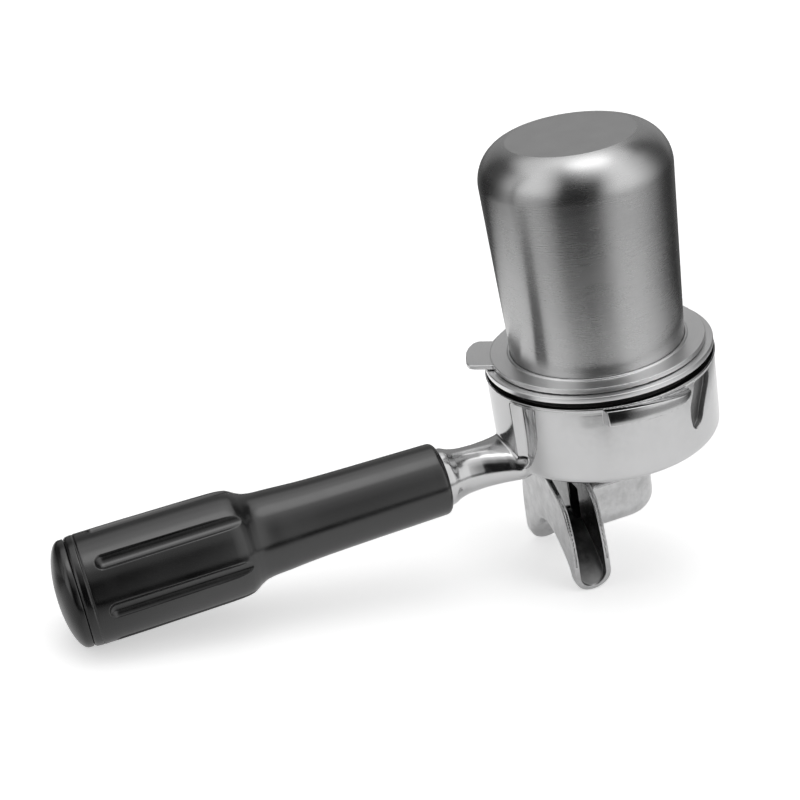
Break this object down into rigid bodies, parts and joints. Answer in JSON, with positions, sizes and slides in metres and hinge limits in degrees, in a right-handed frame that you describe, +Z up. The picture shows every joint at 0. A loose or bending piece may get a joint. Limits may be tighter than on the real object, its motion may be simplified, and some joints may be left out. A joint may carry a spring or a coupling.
{
  "type": "portafilter",
  "caption": "Espresso portafilter with a moulded black handle, an open twin spout, a lift-out filter basket and an inverted dosing cup standing on the basket.",
  "frame": {"origin": "on the counter, under the middle of the object's bounding box, as it stands on its two spout tips and the rear end of its handle", "axes": "+Z up; the handle points along -X and the bowl is at +X; Y runs through the two bayonet lugs. The basket axis leans 10.26 degrees from +Z towards -X, and the handle axis is square to it."},
  "size_m": [0.2108, 0.077, 0.1464],
  "materials": {
    "chromed_body": "polished to satin chrome over cast brass",
    "chromed_spout": "tumbled satin chrome over cast brass",
    "spring_steel": "drawn wire, plain",
    "zinc_plated_steel": "zinc plated",
    "white_seal": "plain fluoropolymer",
    "black_plastic": "fine-grained satin moulding",
    "basket_steel": "pressed stainless, bright",
    "brushed_cup_steel": "stainless, brushed around the axis, bead-blasted flat end",
    "machined_steel": "turned stainless, fine lathe marks"
  },
  "bodies": {
    "portafilter": {"portafilter_body": "chromed_body", "basket_retaining_spring": "spring_steel", "spout_washer": "white_seal", "double_spout": "chromed_spout", "handle_grip": "black_plastic", "handle_end_cap": "black_plastic", "handle_bolt": "zinc_plated_steel", "bolt_flat_washer": "zinc_plated_steel", "bolt_spring_washer": "spring_steel"},
    "basket": {"filter_basket": "basket_steel"},
    "cup": {"dosing_cup": "brushed_cup_steel", "dosing_cup_flange": "machined_steel"}
  },
  "joints": [
    {"name": "basket_lift", "type": "slide", "parent": "portafilter", "child": "basket", "axis": [-0.1782, 0, 0.984], "range_m": [0, 0.04]},
    {"name": "cup_lift", "type": "slide", "parent": "basket", "child": "cup", "axis": [-0.1782, 0, 0.984], "range_m": [0, 0.06]}
  ]
}
